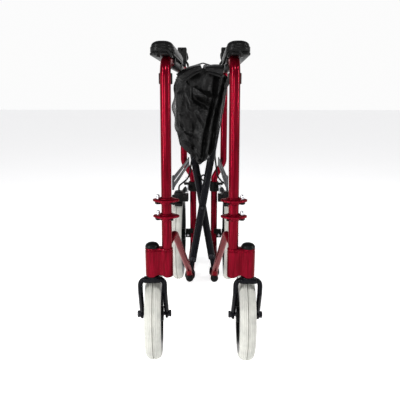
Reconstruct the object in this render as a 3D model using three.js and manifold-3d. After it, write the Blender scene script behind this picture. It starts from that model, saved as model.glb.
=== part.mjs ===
// Side-folding rollator and transport chair, drawn folded and standing on its four wheels.
// Millimetres, +Z up, front at -Y, origin on the floor under the middle of the object.
import * as THREE from "three";
import { mergeVertices } from "three/addons/utils/BufferGeometryUtils.js";
import Module from "manifold-3d";

const wasm = await Module();
wasm.setup();
const { Manifold, Mesh: SolidMesh } = wasm;

// ---- Driving sizes ----
const GAP = 0.4;
const FRONT_WHEEL_R = 104;
const FRONT_TYRE_W = 36;
const REAR_WHEEL_R = 150;
const REAR_TYRE_W = 33;
const FRONT_AXLE_Y = -258;
const REAR_AXLE_Y = 216;
const TUBE_R = 11;
const FRONT_TUBE_Y = -308;
const FRONT_TUBE_X_TOP = 69;
const FRONT_TUBE_X_LOW = 72.5;
const ARM_TUBE_Z = 680;
const STEM_X = 104.5;
const STEM_Y = -306;
const FORK_X = 106;
const FORK_TOP_HALF = 27;
const FORK_HALF = 29;
const LEFT_CASTER_YAW = 4;
const REAR_WHEEL_X = 83;
const POST_X_LOW = 34.5;
const POST_X_TOP = 64;
const POST_TOP_Z = 692.5;
const RAIL_X = 34.5;
const RAIL_Z = 110;
const RAIL_FRONT_Y = -60;
const BAR_R = 10;
const POST_R = 10.5;
const BAR_A_Y = -33;
const BAR_B_Y = -9.5;
const SEAT_X = 57;
const SEAT_Z = 640;
const CROSS_Z = RAIL_Z + ((SEAT_Z - RAIL_Z) * RAIL_X) / (RAIL_X + SEAT_X);
const HANDLE_R = 9;
const HEAD_Z = 732;

// ---- Small solid toolkit: every helper returns a manifold solid ----
function solid(geometry) {
  const bare = geometry.clone();
  bare.deleteAttribute("normal");
  bare.deleteAttribute("uv");
  const merged = mergeVertices(bare, 1e-3);
  return new Manifold(
    new SolidMesh({
      numProp: 3,
      vertProperties: merged.attributes.position.array,
      triVerts: new Uint32Array(merged.index.array),
    }),
  );
}

function union(...parts) {
  return parts.reduce((sum, part) => sum.add(part));
}

function box(w, d, h, x, y, z) {
  return solid(new THREE.BoxGeometry(w, d, h)).translate([x, y, z]);
}

// A cylinder from one point to another.
function rod(from, to, r, sides = 12, rEnd = r) {
  const a = new THREE.Vector3(...from);
  const b = new THREE.Vector3(...to);
  const dir = b.clone().sub(a);
  const g = new THREE.CylinderGeometry(rEnd, r, dir.length(), sides);
  const turn = new THREE.Quaternion().setFromUnitVectors(
    new THREE.Vector3(0, 1, 0),
    dir.clone().normalize(),
  );
  g.applyQuaternion(turn);
  g.translate(...a.add(b).multiplyScalar(0.5).toArray());
  return solid(g);
}

// A turned body about its own Z, with the profile given as [radius, height] pairs.
function turned(profile, sides) {
  const points = profile.map(([r, h]) => new THREE.Vector2(r, h));
  const g = new THREE.LatheGeometry(points, sides);
  g.rotateX(Math.PI / 2);
  const made = solid(g);
  return made.volume() < 0 ? solid(g.index ? flipped(g) : g) : made;
}

function flipped(g) {
  const out = g.clone();
  const index = out.index.array;
  for (let i = 0; i < index.length; i += 3) {
    [index[i + 1], index[i + 2]] = [index[i + 2], index[i + 1]];
  }
  return out;
}

// The same corner points with each inner corner rounded by short chords.
function rounded(points, radius, chords = 4) {
  const p = points.map((q) => new THREE.Vector3(...q));
  const out = [p[0]];
  for (let i = 1; i < p.length - 1; i++) {
    const back = p[i - 1].clone().sub(p[i]);
    const ahead = p[i + 1].clone().sub(p[i]);
    const turn = Math.PI - back.angleTo(ahead);
    const reach = Math.min(
      radius * Math.tan(turn / 2),
      0.48 * Math.min(back.length(), ahead.length()),
    );
    const start = p[i].clone().add(back.setLength(reach));
    const end = p[i].clone().add(ahead.setLength(reach));
    const arc = new THREE.QuadraticBezierCurve3(start, p[i], end);
    out.push(...arc.getPoints(chords));
  }
  out.push(p[p.length - 1]);
  return out;
}

// A round bar swept along points, closed by flat ends.
function sweep(points, r, sides = 12) {
  const p = points.map((q) => (q.isVector3 ? q : new THREE.Vector3(...q)));
  const position = [];
  const index = [];
  let side = new THREE.Vector3(0.31, 0.83, 0.46);
  for (let i = 0; i < p.length; i++) {
    const before = p[Math.max(i - 1, 0)];
    const after = p[Math.min(i + 1, p.length - 1)];
    const inDir = p[i].clone().sub(before).normalize();
    const outDir = after.clone().sub(p[i]).normalize();
    const along = inDir.clone().add(outDir).normalize();
    const stretch = 1 / Math.max(0.6, i > 0 && i < p.length - 1 ? along.dot(outDir) : 1);
    side = side.clone().addScaledVector(along, -side.dot(along)).normalize();
    const other = along.clone().cross(side);
    const bendAxis = inDir.clone().cross(outDir);
    const across = bendAxis.lengthSq() > 1e-9 ? bendAxis.cross(along).normalize() : null;
    for (let k = 0; k < sides; k++) {
      const angle = (2 * Math.PI * k) / sides;
      const v = side.clone().multiplyScalar(Math.cos(angle) * r);
      v.addScaledVector(other, Math.sin(angle) * r);
      if (across) v.addScaledVector(across, v.dot(across) * (stretch - 1));
      v.add(p[i]);
      position.push(v.x, v.y, v.z);
    }
  }
  for (let i = 0; i < p.length - 1; i++) {
    for (let k = 0; k < sides; k++) {
      const a = i * sides + k;
      const b = i * sides + ((k + 1) % sides);
      index.push(a, b, b + sides, a, b + sides, a + sides);
    }
  }
  const last = (p.length - 1) * sides;
  for (let k = 1; k < sides - 1; k++) {
    index.push(0, k + 1, k, last, last + k, last + k + 1);
  }
  const g = new THREE.BufferGeometry();
  g.setAttribute("position", new THREE.Float32BufferAttribute(position, 3));
  g.setIndex(index);
  const made = solid(g);
  return made.volume() < 0 ? solid(flipped(g)) : made;
}

// A flat plate: an outline in its own XY, extruded up by h.
function plate(outline, h) {
  const shape = new THREE.Shape(outline.map(([x, y]) => new THREE.Vector2(x, y)));
  return solid(new THREE.ExtrudeGeometry(shape, { depth: h, bevelEnabled: false }));
}

// ---- Materials ----
function paint(name, color, metalness, roughness) {
  return new THREE.MeshStandardMaterial({ name, color, metalness, roughness });
}
const RED = paint("red_paint", 0x9c1027, 0.5, 0.3);
const BLACK = paint("black_plastic", 0x141416, 0.0, 0.5);
const BAR_BLACK = paint("black_paint", 0x0c0c0e, 0.4, 0.3);
const TYRE = paint("grey_tyre", 0xc9c9c4, 0.0, 0.8);
const STEEL = paint("zinc_steel", 0xb4b6ba, 0.9, 0.35);
const LINK = paint("grey_link", 0x74777c, 0.7, 0.4);
const CLOTH = paint("black_cloth", 0x101012, 0.0, 0.85);

const root = new THREE.Group();
root.name = "rollator";

function add(name, body, material) {
  const mesh = body.getMesh();
  const g = new THREE.BufferGeometry();
  const step = mesh.numProp;
  const position = new Float32Array((mesh.vertProperties.length / step) * 3);
  for (let i = 0; i < position.length / 3; i++) {
    position.set(mesh.vertProperties.subarray(i * step, i * step + 3), i * 3);
  }
  g.setAttribute("position", new THREE.BufferAttribute(position, 3));
  g.setIndex(new THREE.BufferAttribute(new Uint32Array(mesh.triVerts), 1));
  g.computeVertexNormals();
  const out = new THREE.Mesh(g, material);
  out.name = name;
  root.add(out);
}

// Right-hand solid as drawn, left-hand one mirrored across X.
function addPair(name, body, material) {
  add(`${name}_R`, body, material);
  add(`${name}_L`, body.mirror([1, 0, 0]), material);
}

// ---- Side frame: front tube and arm tube, rear post with lower rail, strut ----
const frontPath = rounded(
  [
    [FRONT_TUBE_X_LOW, FRONT_TUBE_Y, 226],
    [FRONT_TUBE_X_TOP, FRONT_TUBE_Y, ARM_TUBE_Z],
    [POST_X_TOP, REAR_AXLE_Y, ARM_TUBE_Z],
  ],
  42,
  5,
);
const postPath = rounded(
  [
    [RAIL_X, RAIL_FRONT_Y, RAIL_Z],
    [POST_X_LOW, REAR_AXLE_Y, RAIL_Z],
    [POST_X_LOW, REAR_AXLE_Y, 346],
    [POST_X_TOP, REAR_AXLE_Y, 396],
    [POST_X_TOP, REAR_AXLE_Y, POST_TOP_Z],
  ],
  40,
  4,
);
const strutPath = rounded(
  [
    [FRONT_TUBE_X_LOW - 3, FRONT_TUBE_Y + 4, 296],
    [58, -276, 312],
    [37, -66, RAIL_Z + 30],
    [RAIL_X, RAIL_FRONT_Y + 7, RAIL_Z + 2],
  ],
  26,
  4,
);
const axleBoss = rod([POST_X_LOW, REAR_AXLE_Y, REAR_WHEEL_R], [56, REAR_AXLE_Y, REAR_WHEEL_R], 11);
const postSleeve = sweep(postPath, POST_R, 14);
const postBore = rod(
  [POST_X_TOP, REAR_AXLE_Y, 430],
  [POST_X_TOP, REAR_AXLE_Y, POST_TOP_Z + 5],
  HANDLE_R + GAP,
  14,
);
const axleBore = rod([50, REAR_AXLE_Y, REAR_WHEEL_R], [60, REAR_AXLE_Y, REAR_WHEEL_R], 6 + GAP);
const frontTube = sweep(frontPath, TUBE_R, 14);
const rearFrame = union(postSleeve, sweep(strutPath, 8, 12), axleBoss).subtract(axleBore);
addPair("front_tube", frontTube.subtract(sweep(postPath, POST_R + GAP, 14)), RED);
const frontTubeCut = sweep(frontPath, TUBE_R + GAP, 14);
const capRoom = box(40, 20, 29, RAIL_X, RAIL_FRONT_Y - 10, RAIL_Z - 0.5);
addPair(
  "rear_frame",
  rearFrame.subtract(postBore).subtract(frontTubeCut).subtract(capRoom),
  RED,
);

const railCap = union(
  rod([RAIL_X, RAIL_FRONT_Y - GAP - 3, RAIL_Z], [RAIL_X, RAIL_FRONT_Y - GAP, RAIL_Z], 11, 14),
  rod([RAIL_X, RAIL_FRONT_Y - 7, RAIL_Z], [RAIL_X, RAIL_FRONT_Y - 3, RAIL_Z], 8, 14, 11),
);
addPair("rail_cap", railCap, BLACK);

// ---- Caster housing, its cap, the swivelling fork and the front wheel ----
const HOUSING_LOW = 222;
const HOUSING_TOP = 288;
const housingBody = union(
  rod([STEM_X, STEM_Y, HOUSING_LOW], [STEM_X, STEM_Y, HOUSING_TOP], 15.5, 18),
  rod([FRONT_TUBE_X_LOW, FRONT_TUBE_Y, HOUSING_LOW],
    [FRONT_TUBE_X_LOW, FRONT_TUBE_Y, HOUSING_TOP - 4], 13.5, 18),
  box(30, 21, HOUSING_TOP - HOUSING_LOW - 8, 89, -307, 255),
);
const stemBore = rod([STEM_X, STEM_Y, 212], [STEM_X, STEM_Y, 280], 8 + GAP, 14);
addPair("caster_housing", housingBody.subtract(stemBore).subtract(frontTubeCut), RED);

const capProfile = [
  [0, 0],
  [15, 0],
  [15.3, 3],
  [13.5, 7],
  [8, 10],
  [0, 11],
];
const capBody = turned(capProfile, 18).translate([STEM_X, STEM_Y, HOUSING_TOP + GAP]);
addPair("housing_cap", capBody, BLACK);

// One bent bar makes the fork: up a leg, over the crown and down the other leg.
const forkBar = rounded(
  [
    [FORK_X - FORK_HALF, FRONT_AXLE_Y, FRONT_WHEEL_R - 3],
    [FORK_X - FORK_TOP_HALF, STEM_Y + 1, 180],
    [FORK_X - FORK_TOP_HALF, STEM_Y - 1, 213.5],
    [FORK_X + FORK_TOP_HALF, STEM_Y - 1, 213.5],
    [FORK_X + FORK_TOP_HALF, STEM_Y + 1, 180],
    [FORK_X + FORK_HALF, FRONT_AXLE_Y, FRONT_WHEEL_R - 3],
  ],
  16,
  4,
);
function forkEye(x) {
  return rod([x - 3, FRONT_AXLE_Y, FRONT_WHEEL_R], [x + 3, FRONT_AXLE_Y, FRONT_WHEEL_R], 11, 12);
}
// The crown bridges the tyre ahead of its top, so it is cut back round the tyre.
const tyreClear = rod(
  [FORK_X - 21, FRONT_AXLE_Y, FRONT_WHEEL_R],
  [FORK_X + 21, FRONT_AXLE_Y, FRONT_WHEEL_R],
  FRONT_WHEEL_R + 3,
  48,
);
const crown = union(
  rod([STEM_X, STEM_Y, 214], [STEM_X, STEM_Y, 276], 8, 14),
  rod([STEM_X, STEM_Y, 210], [STEM_X, STEM_Y, HOUSING_LOW - GAP], 14.5, 16),
  box(40, 24, 11, FORK_X, STEM_Y - 3, 213.5),
).subtract(tyreClear);
const axleHole = rod(
  [FORK_X - 40, FRONT_AXLE_Y, FRONT_WHEEL_R],
  [FORK_X + 40, FRONT_AXLE_Y, FRONT_WHEEL_R],
  4.5 + GAP,
  10,
);
const fork = union(
  crown,
  sweep(forkBar, 5.6, 10),
  forkEye(FORK_X - FORK_HALF),
  forkEye(FORK_X + FORK_HALF),
).subtract(axleHole);

// At rest the right caster points straight back and the left one stands turned about its stem.
function addCasterPair(name, body, material) {
  add(`${name}_R`, body, material);
  const turnedLeft = body
    .mirror([1, 0, 0])
    .translate([STEM_X, -STEM_Y, 0])
    .rotate([0, 0, LEFT_CASTER_YAW])
    .translate([-STEM_X, STEM_Y, 0]);
  add(`${name}_L`, turnedLeft, material);
}
addCasterPair("caster_fork", fork, BAR_BLACK);

function axleNut(x) {
  return rod([x - 3, FRONT_AXLE_Y, FRONT_WHEEL_R], [x + 3, FRONT_AXLE_Y, FRONT_WHEEL_R], 8, 6);
}
const casterAxle = union(
  rod([FORK_X - 38, FRONT_AXLE_Y, FRONT_WHEEL_R],
    [FORK_X + 38, FRONT_AXLE_Y, FRONT_WHEEL_R], 4.5, 10),
  axleNut(FORK_X - FORK_HALF - 8 - GAP),
  axleNut(FORK_X + FORK_HALF + 8 + GAP),
);
addCasterPair("caster_axle", casterAxle, STEEL);

// A wheel's tyre: a closed ring profile with a domed tread.
function tyre(outerR, innerR, width, sides) {
  const w = width / 2;
  const profile = [
    [innerR, -w * 0.62],
    [innerR + 8, -w * 0.9],
    [outerR - 12, -w],
    [outerR - 4, -w * 0.8],
    [outerR, -w * 0.35],
    [outerR, w * 0.35],
    [outerR - 4, w * 0.8],
    [outerR - 12, w],
    [innerR + 8, w * 0.9],
    [innerR, w * 0.62],
    [innerR, -w * 0.62],
  ];
  return turned(profile, sides).rotate([0, 90, 0]);
}

// A wheel's rim: ring, five spokes and a hub with its bore.
function rim(outerR, width, hubR, boreR, hubW, sides) {
  const ring = turned(
    [
      [outerR - 9, -width / 2],
      [outerR, -width / 2],
      [outerR, width / 2],
      [outerR - 9, width / 2],
      [outerR - 9, -width / 2],
    ],
    sides,
  ).rotate([0, 90, 0]);
  const hub = rod([-hubW / 2, 0, 0], [hubW / 2, 0, 0], hubR, 16);
  const spokes = [0, 1, 2, 3, 4].map((k) =>
    box(8, hubR * 0.9, outerR - hubR, 0, 0, (outerR + hubR) / 2 - 4).rotate([k * 72, 0, 0]),
  );
  return union(hub, ring, ...spokes).subtract(rod([-hubW, 0, 0], [hubW, 0, 0], boreR, 12));
}

const frontWheelAt = [FORK_X, FRONT_AXLE_Y, FRONT_WHEEL_R];
addCasterPair(
  "front_tyre",
  tyre(FRONT_WHEEL_R, 76, FRONT_TYRE_W, 32).translate(frontWheelAt),
  TYRE,
);
addCasterPair(
  "front_rim",
  rim(76 - GAP, 22, 18, 4.5 + GAP, 44, 32).translate(frontWheelAt),
  BLACK,
);

// ---- Rear wheel on its axle ----
const rearWheelAt = [REAR_WHEEL_X, REAR_AXLE_Y, REAR_WHEEL_R];
addPair("rear_tyre", tyre(REAR_WHEEL_R, 118, REAR_TYRE_W, 36).translate(rearWheelAt), TYRE);
addPair(
  "rear_rim",
  rim(118 - GAP, 22, 20, 6 + GAP, 44, 36).translate(rearWheelAt),
  BLACK,
);
const rearAxle = union(
  rod([51, REAR_AXLE_Y, REAR_WHEEL_R], [118, REAR_AXLE_Y, REAR_WHEEL_R], 6, 12),
  rod([107, REAR_AXLE_Y, REAR_WHEEL_R], [120, REAR_AXLE_Y, REAR_WHEEL_R], 10, 6),
);
addPair("rear_axle", rearAxle, STEEL);

// ---- Armrest: tray on the arm tube and padded top ----
const PAD_FRONT_Y = -322;
const PAD_REAR_Y = 12;
const PAD_X = 75;
const PAD_W = 48;
function padOutline(w, front, rear, round) {
  const out = [];
  const corners = [
    [w / 2 - round, rear - round, 0],
    [-w / 2 + round, rear - round, 90],
    [-w / 2 + round, front + round, 180],
    [w / 2 - round, front + round, 270],
  ];
  for (const [x, y, start] of corners) {
    for (let k = 0; k <= 4; k++) {
      const angle = ((start + k * 22.5) * Math.PI) / 180;
      out.push([x + round * Math.cos(angle), y + round * Math.sin(angle)]);
    }
  }
  return out;
}
const trayLow = 687;
const tray = union(
  plate(padOutline(PAD_W, PAD_FRONT_Y, PAD_REAR_Y, 14), 5).translate([PAD_X, 0, trayLow]),
  box(30, 20, 18, 68, -232, trayLow - 6),
  box(30, 20, 18, 67, -34, trayLow - 6),
).subtract(frontTubeCut);
addPair("arm_base", tray, BLACK);
const padLow = trayLow + 5 + GAP;
const pad = union(
  plate(padOutline(PAD_W, PAD_FRONT_Y, PAD_REAR_Y, 16), 14).translate([PAD_X, 0, padLow]),
  plate(padOutline(PAD_W - 8, PAD_FRONT_Y + 4, PAD_REAR_Y - 4, 14), 7).translate([
    PAD_X,
    0,
    padLow + 13,
  ]),
  plate(padOutline(PAD_W - 20, PAD_FRONT_Y + 10, PAD_REAR_Y - 10, 10), 4).translate([
    PAD_X,
    0,
    padLow + 19,
  ]),
);
addPair("arm_pad", pad, BLACK);

// ---- Anchor clip on the front tube ----
const clipX = 69.3;
const clip = box(27, 14, 22, clipX, FRONT_TUBE_Y + 7, 643).subtract(frontTubeCut);
addPair("tube_clip", clip, BLACK);

// ---- Footrest hanger plates on the front tube, with upright pins ----
const LEAF = [
  [-29, 0],
  [-20, -13],
  [-4, -19],
  [12, -16],
  [27, -3],
  [27, 3],
  [12, 16],
  [-4, 19],
  [-20, 13],
];
function hanger(z) {
  return union(
    plate(LEAF, 5).translate([FRONT_TUBE_X_TOP + 3, FRONT_TUBE_Y - 2, z]),
    rod([89, FRONT_TUBE_Y - 2, z - 5], [89, FRONT_TUBE_Y - 2, z + 15], 4, 10),
    rod([89, FRONT_TUBE_Y - 2, z - 5], [89, FRONT_TUBE_Y - 2, z + 1], 7, 6),
    rod([71.7, FRONT_TUBE_Y, z - 6], [71.7, FRONT_TUBE_Y, z + 8], 14, 14),
  );
}
addPair("hanger_upper", hanger(392).subtract(frontTubeCut), RED);
addPair("hanger_lower", hanger(357).subtract(frontTubeCut), RED);

// ---- Side link bars between front tube and rear post ----
function linkBar(dz) {
  const from = [56, FRONT_TUBE_Y + 16, 438 + dz];
  const to = [50, REAR_AXLE_Y - 14, 404 + dz];
  return sweep([from, to], 4.5, 6);
}
const linkAnchors = union(
  box(8, 22, 34, 56, FRONT_TUBE_Y + 6, 430),
  box(8, 30, 34, 49, REAR_AXLE_Y - 6, 397),
);
addPair(
  "link_bars",
  union(linkBar(0), linkBar(-15), linkAnchors)
    .subtract(frontTubeCut)
    .subtract(sweep(postPath, POST_R + GAP, 14)),
  LINK,
);

// ---- Brake: bracket clamped on the rear post, shoe over the tyre ----
const BLOCK_Y = 112;
const bracket = union(
  rod([POST_X_LOW, REAR_AXLE_Y, 300], [POST_X_LOW, REAR_AXLE_Y, 332], 15, 14),
  sweep(rounded([[44, 206, 316], [58, 180, 314], [66, 130, 308]], 20, 3), 7, 8),
  box(26, 34, 30, 74, BLOCK_Y, 306),
).subtract(sweep(postPath, POST_R + GAP, 14));
addPair("brake_bracket", bracket, BLACK);
const shoe = union(
  box(24, 30, 9, 74, BLOCK_Y - 8, 283),
  box(6, 10, 30, 90.5, BLOCK_Y - 4, 294),
  rod([87.5, BLOCK_Y - 4, 304], [95, BLOCK_Y - 4, 304], 7, 10),
  box(18, 10, 7, 83, BLOCK_Y - 4, 283),
);
addPair("brake_shoe", shoe, BLACK);

// ---- Push handle: sliding stalk, head with a hole, grip and brake lever ----
const stalkTop = 712;
const stalk = rod([POST_X_TOP, REAR_AXLE_Y, 440], [POST_X_TOP, REAR_AXLE_Y, stalkTop], HANDLE_R, 14);
addPair("handle_stalk", stalk, BAR_BLACK);
const gripX = POST_X_TOP + 2;
const gripZ = HEAD_Z - 3;
function lengthways(y0, y1, z, r, sides) {
  return rod([gripX, REAR_AXLE_Y + y0, z], [gripX, REAR_AXLE_Y + y1, z], r, sides);
}
const stalkSocket = rod(
  [POST_X_TOP, REAR_AXLE_Y, 700],
  [POST_X_TOP, REAR_AXLE_Y, stalkTop + GAP],
  HANDLE_R + GAP,
  14,
);
const head = union(
  box(27, 26, 40, gripX + 0.5, REAR_AXLE_Y, gripZ),
  lengthways(-13, 24, gripZ, 12, 14),
)
  .subtract(stalkSocket)
  .subtract(lengthways(-20, -4, HEAD_Z + 10, 4.5, 12));
addPair("handle_head", head, BLACK);
const grip = union(
  lengthways(24 + GAP, 132, gripZ, 13.5, 16),
  lengthways(24 + GAP, 30, gripZ, 15.5, 16),
);
addPair("grip", grip, BLACK);
const leverX = gripX;
const lever = union(
  rod([leverX - 10, REAR_AXLE_Y + 19, 701], [leverX + 10, REAR_AXLE_Y + 19, 701], 3.6, 8),
  sweep(
    rounded(
      [
        [leverX, REAR_AXLE_Y + 17, 701],
        [leverX, REAR_AXLE_Y + 44, 686],
        [leverX, REAR_AXLE_Y + 128, 688],
      ],
      30,
      3,
    ),
    5,
    8,
  ),
);
addPair("brake_lever", lever, BAR_BLACK);
const knob = union(
  rod([POST_X_TOP, REAR_AXLE_Y + 12 + GAP, 640], [POST_X_TOP, REAR_AXLE_Y + 20, 640], 6, 12),
  rod([POST_X_TOP, REAR_AXLE_Y + 20, 640], [POST_X_TOP, REAR_AXLE_Y + 34, 640], 14, 10),
);
addPair("height_knob", knob, BLACK);
const cable = sweep(
  rounded(
    [
      [POST_X_TOP - 14, REAR_AXLE_Y + 16, 698],
      [POST_X_TOP - 20, REAR_AXLE_Y + 14, 560],
      [POST_X_TOP - 28, REAR_AXLE_Y - 34, 420],
      [POST_X_TOP - 20, BLOCK_Y + 40, 356],
      [74, BLOCK_Y, 338],
      [74, BLOCK_Y, 322],
    ],
    50,
    4,
  ),
  2.6,
  6,
);
addPair("brake_cable", cable, BLACK);

// ---- Cross brace: two bars, each carrying one seat rail ----
function crossBar(y, collarY) {
  const low = [-RAIL_X, y, RAIL_Z];
  const high = [SEAT_X, y, SEAT_Z];
  const tilt = Math.atan2(RAIL_X + SEAT_X, SEAT_Z - RAIL_Z);
  const up = (t) => [low[0] + Math.sin(tilt) * t, y, low[2] + Math.cos(tilt) * t];
  const collar = rod([low[0], collarY - 10, low[2]], [low[0], collarY + 10, low[2]], 14.5, 16);
  const web = box(12, 12, 40, 0, 0, 30)
    .rotate([0, (tilt * 180) / Math.PI, 0])
    .translate(low);
  const reach = Math.hypot(high[0] - low[0], high[2] - low[2]);
  const bar = sweep([up(40), up(reach - 11)], BAR_R, 14);
  const [boltX, , boltZ] = up(50);
  const boltHead = rod([boltX, y - 14, boltZ], [boltX, y + 10, boltZ], 5, 6);
  return union(collar, web, bar, boltHead)
    .subtract(rod([low[0], y - 40, low[2]], [low[0], y + 40, low[2]], POST_R + GAP, 16))
    .subtract(rod([high[0], y - 40, high[2]], [high[0], y + 40, high[2]], 9 + GAP, 14))
    .subtract(rod([0, y - 40, CROSS_Z], [0, y + 40, CROSS_Z], 4 + GAP, 12));
}
add("cross_bar_A", crossBar(BAR_A_Y, BAR_A_Y), BAR_BLACK);
add("cross_bar_B", crossBar(BAR_B_Y, BAR_B_Y).mirror([1, 0, 0]), BAR_BLACK);
function seatRail(x) {
  return rod([x, -72, SEAT_Z], [x, 186, SEAT_Z], 9, 14);
}
add("seat_rail_A", seatRail(SEAT_X), BAR_BLACK);
add("seat_rail_B", seatRail(-SEAT_X), BAR_BLACK);
const pivotBolt = union(
  rod([0, BAR_A_Y - 14, CROSS_Z], [0, BAR_B_Y + 14, CROSS_Z], 4, 12),
  rod([0, BAR_A_Y - 16, CROSS_Z], [0, BAR_A_Y - BAR_R - GAP, CROSS_Z], 8, 6),
  rod([0, BAR_B_Y + BAR_R + GAP, CROSS_Z], [0, BAR_B_Y + 16, CROSS_Z], 8, 6),
);
add("pivot_bolt", pivotBolt, STEEL);

// ---- Soft parts: seat sling arched over the rails, storage bag under it, back strap ----
function slab(outline, y0, y1) {
  return plate(outline, y1 - y0)
    .rotate([90, 0, 0])
    .translate([0, y1, 0]);
}
const SLING = [
  [-64, 650.5],
  [-48, 652],
  [-24, 668],
  [0, 676],
  [24, 668],
  [48, 652],
  [64, 650.5],
  [62, 656],
  [48, 660],
  [24, 677],
  [0, 686],
  [-24, 677],
  [-48, 660],
  [-62, 656],
];
add("seat_sling", slab(SLING, -84, 180), CLOTH);
const BAG = [
  [-64, 648],
  [-68, 523],
  [-56, 485],
  [-41, 472],
  [-9, 430],
  [24, 455],
  [32, 475],
  [46, 548],
  [65, 650],
  [24, 668],
  [0, 674],
  [-24, 668],
];
add("storage_bag", slab(BAG, -122, -86), CLOTH);
const STRAP = [
  [-30, 684],
  [-16, 692],
  [0, 698],
  [16, 692],
  [30, 684],
  [31, 688],
  [17, 696],
  [0, 702],
  [-17, 696],
  [-31, 688],
];
add("lift_strap", slab(STRAP, 40, 66), CLOTH);

export default root;
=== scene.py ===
"""A folded side-folding rollator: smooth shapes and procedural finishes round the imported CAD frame."""

import math

import bmesh
import bpy
from mathutils import Matrix, Vector, noise


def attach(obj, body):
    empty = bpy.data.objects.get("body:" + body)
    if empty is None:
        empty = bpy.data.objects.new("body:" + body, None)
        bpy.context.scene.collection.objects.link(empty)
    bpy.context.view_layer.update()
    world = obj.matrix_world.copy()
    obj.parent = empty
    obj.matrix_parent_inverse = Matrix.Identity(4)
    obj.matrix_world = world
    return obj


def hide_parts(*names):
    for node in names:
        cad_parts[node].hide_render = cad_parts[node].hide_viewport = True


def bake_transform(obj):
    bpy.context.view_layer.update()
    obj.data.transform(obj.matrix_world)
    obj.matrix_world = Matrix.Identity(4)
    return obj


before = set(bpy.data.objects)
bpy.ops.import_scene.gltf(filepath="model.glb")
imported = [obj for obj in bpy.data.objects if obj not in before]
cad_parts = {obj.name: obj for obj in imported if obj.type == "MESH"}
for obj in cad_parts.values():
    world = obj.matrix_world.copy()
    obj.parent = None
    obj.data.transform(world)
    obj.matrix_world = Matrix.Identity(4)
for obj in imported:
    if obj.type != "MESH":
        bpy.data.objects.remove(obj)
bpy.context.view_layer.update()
MM = 0.001

# ---- Driving sizes, in millimetres, the same as the CAD's ----
GAP = 0.4
FRONT_WHEEL_R = 104
FRONT_TYRE_W = 36
REAR_WHEEL_R = 150
REAR_TYRE_W = 33
FRONT_AXLE_Y = -258
REAR_AXLE_Y = 216
FRONT_TUBE_Y = -308
FRONT_TUBE_X_TOP = 69
FRONT_TUBE_X_LOW = 72.5
ARM_TUBE_Z = 680
STEM_X = 104.5
STEM_Y = -306
FORK_X = 106
FORK_TOP_HALF = 27
FORK_HALF = 29
LEFT_CASTER_YAW = 4
REAR_WHEEL_X = 83
POST_X_TOP = 64
POST_TOP_Z = 692.5
POST_R = 10.5
RAIL_X = 34.5
RAIL_Z = 110
RAIL_FRONT_Y = -60
SEAT_X = 57
SEAT_Z = 640
HOUSING_LOW = 222
HOUSING_TOP = 288
CABLE_WIDTH = 5.2
HEAD_Z = 732
BLOCK_Y = 112
PAD_FRONT_Y = -322
PAD_REAR_Y = 12
PAD_X = 75
PAD_W = 48
TRAY_LOW = 687


# ---- Materials ----
def material(name, base, rough, metal=0.0, coat=0.0, sheen=0.0, specular=0.5):
    """A principled material, and its nodes, links and shader to build on."""
    m = bpy.data.materials.new(name)
    m.use_nodes = True
    nodes, links = m.node_tree.nodes, m.node_tree.links
    shader = nodes["Principled BSDF"]
    shader.inputs["Base Color"].default_value = (*base, 1)
    shader.inputs["Roughness"].default_value = rough
    shader.inputs["Metallic"].default_value = metal
    shader.inputs["Coat Weight"].default_value = coat
    shader.inputs["Coat Roughness"].default_value = 0.06
    shader.inputs["Sheen Weight"].default_value = sheen
    shader.inputs["Specular IOR Level"].default_value = specular
    return m, nodes, links, shader


def coordinates(nodes, links, scale):
    texture = nodes.new("ShaderNodeTexCoord")
    mapping = nodes.new("ShaderNodeMapping")
    mapping.inputs["Scale"].default_value = scale
    links.new(texture.outputs["Object"], mapping.inputs["Vector"])
    return mapping.outputs["Vector"]


def noise_node(nodes, links, scale, detail, stretch=(1, 1, 1)):
    n = nodes.new("ShaderNodeTexNoise")
    n.inputs["Scale"].default_value = scale
    n.inputs["Detail"].default_value = detail
    links.new(coordinates(nodes, links, stretch), n.inputs["Vector"])
    return n.outputs["Fac"]


def ramp(nodes, links, source, stops):
    r = nodes.new("ShaderNodeValToRGB")
    r.color_ramp.elements[0].position = stops[0][0]
    r.color_ramp.elements[0].color = (*stops[0][1], 1)
    r.color_ramp.elements[1].position = stops[1][0]
    r.color_ramp.elements[1].color = (*stops[1][1], 1)
    for place, colour in stops[2:]:
        e = r.color_ramp.elements.new(place)
        e.color = (*colour, 1)
    links.new(source, r.inputs["Fac"])
    return r.outputs["Color"]


def bump(nodes, links, shader, source, strength, distance):
    b = nodes.new("ShaderNodeBump")
    b.inputs["Strength"].default_value = strength
    b.inputs["Distance"].default_value = distance
    links.new(source, b.inputs["Height"])
    links.new(b.outputs["Normal"], shader.inputs["Normal"])
    return b


def red_paint():
    m, nodes, links, shader = material("red_metallic_paint", (0.3, 0.004, 0.02), 0.2, 0.6, 0.05, 0.0, 0.12)
    shader.inputs["Specular Tint"].default_value = (0.55, 0.03, 0.06, 1)
    flake = noise_node(nodes, links, 260, 3, (1, 1, 0.08))
    colour = ramp(nodes, links, flake, [(0.35, (0.085, 0.001, 0.005)), (0.65, (0.16, 0.002, 0.011))])
    links.new(colour, shader.inputs["Base Color"])
    return m


def moulded(name, tone, rough, grain=900):
    m, nodes, links, shader = material(name, (tone, tone, tone * 1.04), rough, specular=0.08)
    grainy = noise_node(nodes, links, grain, 4)
    low, high = tone * 0.7, tone * 1.35
    colour = ramp(nodes, links, grainy, [(0.3, (low, low, low)), (0.7, (high, high, high))])
    links.new(colour, shader.inputs["Base Color"])
    bump(nodes, links, shader, grainy, 0.22, 0.0004)
    return m


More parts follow.
